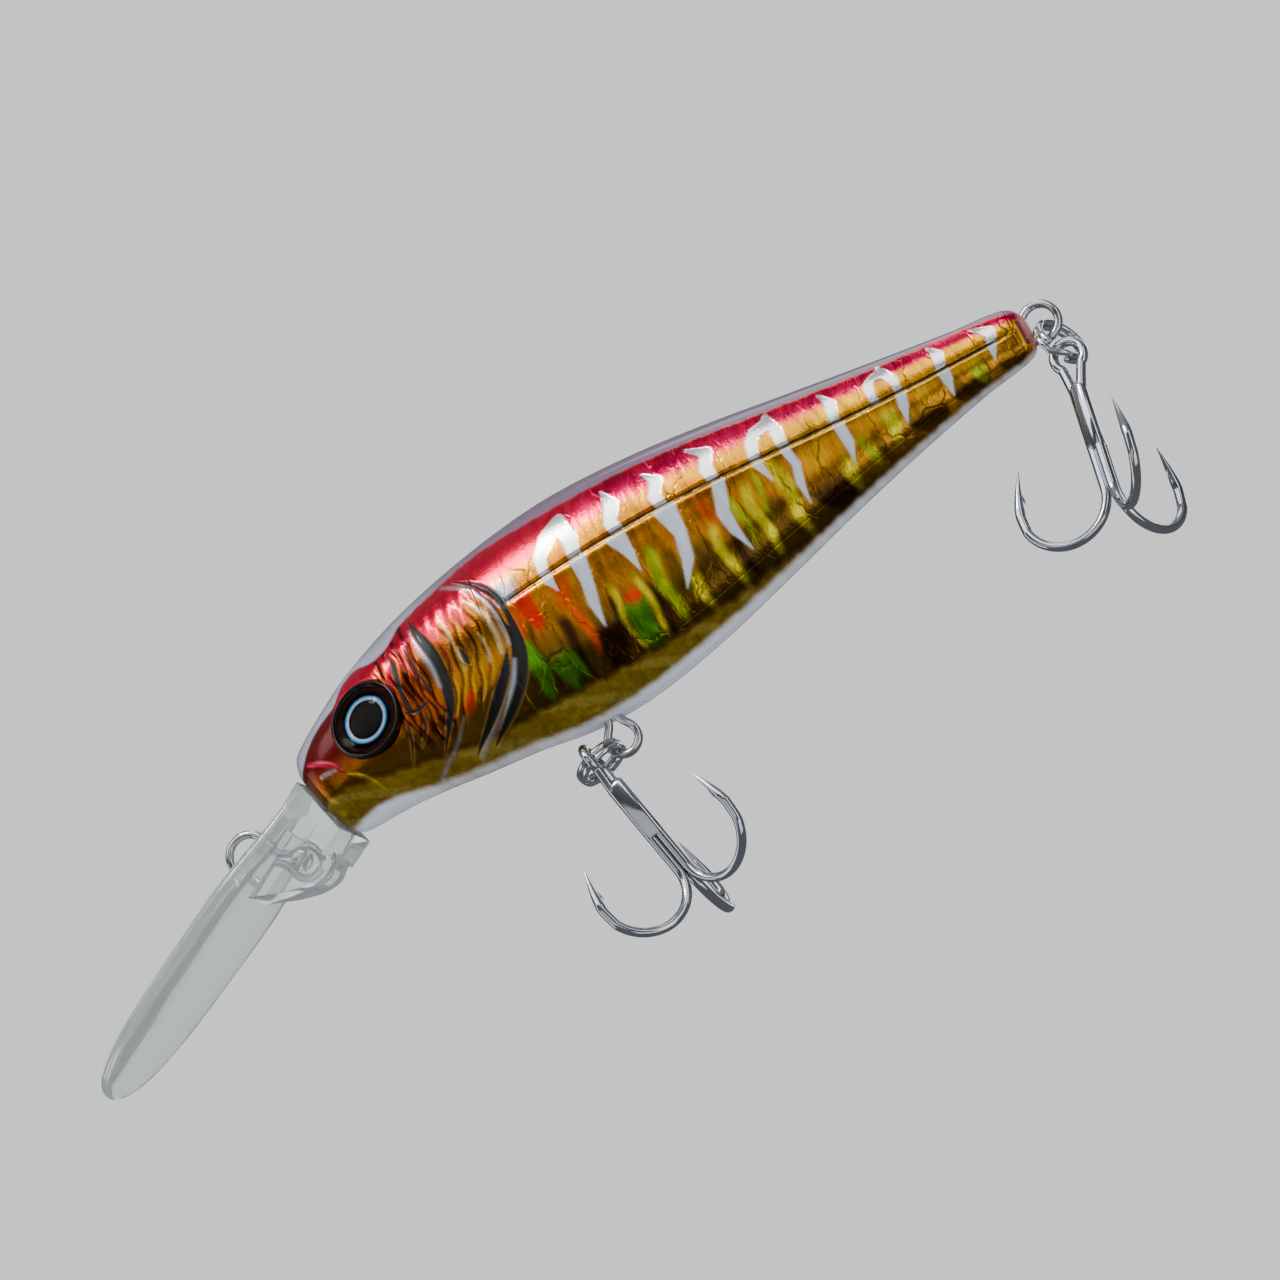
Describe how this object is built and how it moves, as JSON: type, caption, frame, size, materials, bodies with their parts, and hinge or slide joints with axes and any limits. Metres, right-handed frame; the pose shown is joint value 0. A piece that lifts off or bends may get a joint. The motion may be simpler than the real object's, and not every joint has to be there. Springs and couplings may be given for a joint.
{
  "type": "crankbait fishing lure",
  "caption": "Deep-diving hard fishing lure with a foil-flanked hollow body, a long clear lip and treble hooks on split rings.",
  "frame": {"origin": "centre of the line tie's eye", "axes": "+X from nose to tail along the body, +Y towards the fish's right flank, +Z towards its back"},
  "size_m": [0.1157, 0.0177, 0.0431],
  "materials": {
    "shell": "gloss clear coat over metallic paint",
    "foil": "polished",
    "lip": "clear gloss",
    "iris": "polished",
    "dome": "clear gloss",
    "wire": "polished",
    "ring": "polished",
    "hook": "polished",
    "ballast": "dull",
    "magnet": "plated",
    "ball": "polished"
  },
  "bodies": {
    "lure_body": {"left_body_shell": "shell", "right_body_shell": "shell", "left_foil": "foil", "right_foil": "foil", "diving_lip": "lip", "left_eye_disc": "iris", "right_eye_disc": "iris", "left_eye_dome": "dome", "right_eye_dome": "dome", "line_tie_wire": "wire", "belly_hook_hanger": "wire", "tail_hook_hanger": "wire", "belly_weight": "ballast", "magnet": "magnet"},
    "transfer_balls": {"front_transfer_ball": "ball", "middle_transfer_ball": "ball", "rear_transfer_ball": "ball"},
    "belly_ring": {"belly_split_ring": "ring"},
    "belly_treble": {"belly_double_hook": "hook", "belly_third_hook": "hook"},
    "tail_ring": {"tail_split_ring": "ring"},
    "tail_treble": {"tail_double_hook": "hook", "tail_third_hook": "hook"}
  },
  "joints": [
    {"name": "weight_transfer", "type": "slide", "parent": "lure_body", "child": "transfer_balls", "axis": [1, 0, 0], "range_m": [0, 0.012]},
    {"name": "belly_ring_swing", "type": "hinge", "parent": "lure_body", "child": "belly_ring", "pos_m": [0.0368, 0, -0.00925], "axis": [0, 1, 0], "range_deg": [-70, 25]},
    {"name": "belly_treble_swing", "type": "hinge", "parent": "belly_ring", "child": "belly_treble", "pos_m": [0.03395, -0.00236, -0.01012], "axis": [-0.9563, 0, -0.2924], "range_deg": [-55, 55]},
    {"name": "tail_ring_swing", "type": "hinge", "parent": "lure_body", "child": "tail_ring", "pos_m": [0.0888, 0, 0.0041], "axis": [0, 1, 0], "range_deg": [-80, 2]},
    {"name": "tail_treble_swing", "type": "hinge", "parent": "tail_ring", "child": "tail_treble", "pos_m": [0.08959, 0, 0.00152], "axis": [0.8736, -0.4067, 0.2671], "range_deg": [-30, 45]}
  ]
}
